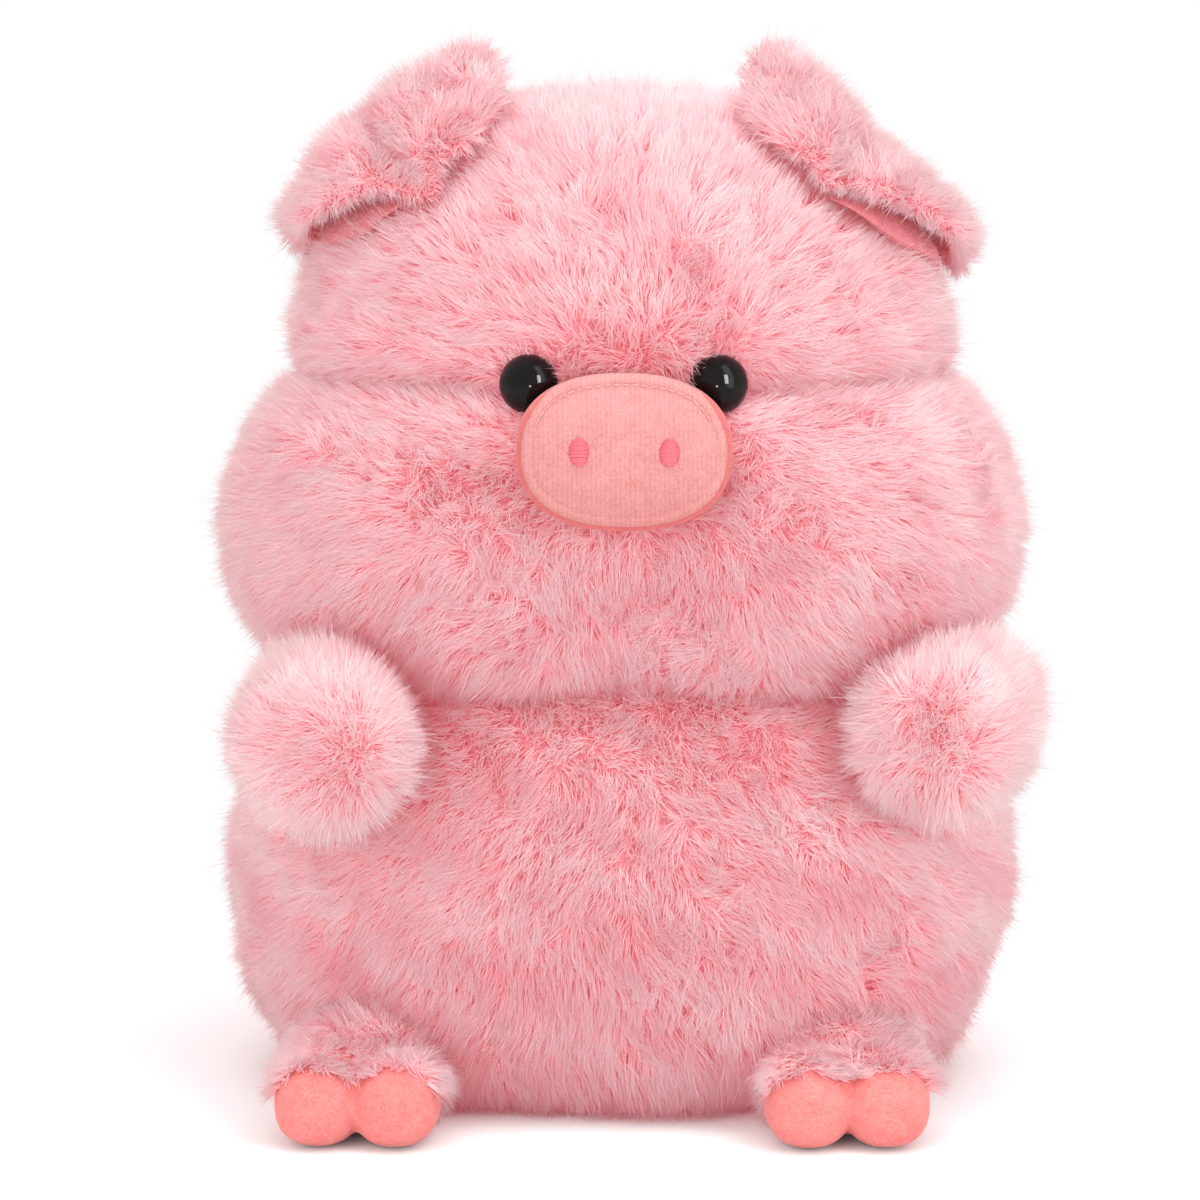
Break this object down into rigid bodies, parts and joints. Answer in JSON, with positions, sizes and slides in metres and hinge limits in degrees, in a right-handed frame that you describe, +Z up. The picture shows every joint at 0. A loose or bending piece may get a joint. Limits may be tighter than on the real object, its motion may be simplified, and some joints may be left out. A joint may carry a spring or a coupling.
{
  "type": "plush pig",
  "caption": "Chubby sitting plush pig in long pink fur, with a coral velour snout, cloven velour hooves, folded lined ears, stub arms and a curled tail.",
  "frame": {"origin": "middle of the flat seat, on the surface that the pig sits on", "axes": "+Z up, -Y the way the pig faces, +X its own left side"},
  "size_m": [0.201, 0.1874, 0.2589],
  "materials": {
    "pink_fur": "long-pile fur",
    "coral_velour": "short-pile velour",
    "coral_thread": "satin stitch",
    "black_gloss": "gloss",
    "white_fill": "loose fibre",
    "pellet_cloth": "plain weave",
    "clear_nylon": "matte"
  },
  "bodies": {
    "torso": {"crown_cover": "pink_fur", "cheek_cover": "pink_fur", "head_stuffing": "white_fill", "body_cover": "pink_fur", "body_stuffing": "white_fill", "seat_panel": "pink_fur", "pellet_pouch": "pellet_cloth", "snout_face": "coral_velour", "snout_band": "coral_velour", "snout_stuffing": "white_fill", "nostril_left": "coral_thread", "nostril_right": "coral_thread", "eye_left": "black_gloss", "eye_right": "black_gloss", "eye_washer_left": "clear_nylon", "eye_washer_right": "clear_nylon"},
    "ear_left": {"ear_back_left": "pink_fur", "ear_lining_left": "coral_velour"},
    "ear_right": {"ear_back_right": "pink_fur", "ear_lining_right": "coral_velour"},
    "arm_left": {"arm_cover_left": "pink_fur", "arm_stuffing_left": "white_fill"},
    "arm_right": {"arm_cover_right": "pink_fur", "arm_stuffing_right": "white_fill"},
    "leg_left": {"leg_cover_left": "pink_fur", "leg_stuffing_left": "white_fill", "hoof_left": "coral_velour"},
    "leg_right": {"leg_cover_right": "pink_fur", "leg_stuffing_right": "white_fill", "hoof_right": "coral_velour"},
    "tail": {"tail": "coral_velour"}
  },
  "joints": [
    {"name": "ear_left_lift", "type": "hinge", "parent": "torso", "child": "ear_left", "pos_m": [0.0545, 0.01, 0.226], "axis": [-0.6947, 0, 0.7193], "range_deg": [0, 45], "stiffness_Nm_per_rad": 0.02},
    {"name": "ear_right_lift", "type": "hinge", "parent": "torso", "child": "ear_right", "pos_m": [-0.0545, 0.01, 0.226], "axis": [-0.6947, 0, -0.7193], "range_deg": [0, 45], "stiffness_Nm_per_rad": 0.02},
    {"name": "arm_left_swing", "type": "hinge", "parent": "torso", "child": "arm_left", "pos_m": [0.083, -0.033, 0.099], "axis": [0, 0, 1], "range_deg": [0, 35], "stiffness_Nm_per_rad": 0.06},
    {"name": "arm_right_swing", "type": "hinge", "parent": "torso", "child": "arm_right", "pos_m": [-0.0695, -0.042, 0.0955], "axis": [0, 0, -1], "range_deg": [0, 35], "stiffness_Nm_per_rad": 0.06},
    {"name": "leg_left_turn", "type": "hinge", "parent": "torso", "child": "leg_left", "pos_m": [0.053, -0.02, 0.012], "axis": [0, 0, 1], "range_deg": [0, 15], "stiffness_Nm_per_rad": 0.1},
    {"name": "leg_right_turn", "type": "hinge", "parent": "torso", "child": "leg_right", "pos_m": [-0.059, -0.019, 0.012], "axis": [0, 0, -1], "range_deg": [0, 15], "stiffness_Nm_per_rad": 0.1},
    {"name": "tail_wag", "type": "hinge", "parent": "torso", "child": "tail", "pos_m": [0, 0.072, 0.052], "axis": [0, 0, 1], "range_deg": [-20, 20], "stiffness_Nm_per_rad": 0.01}
  ]
}
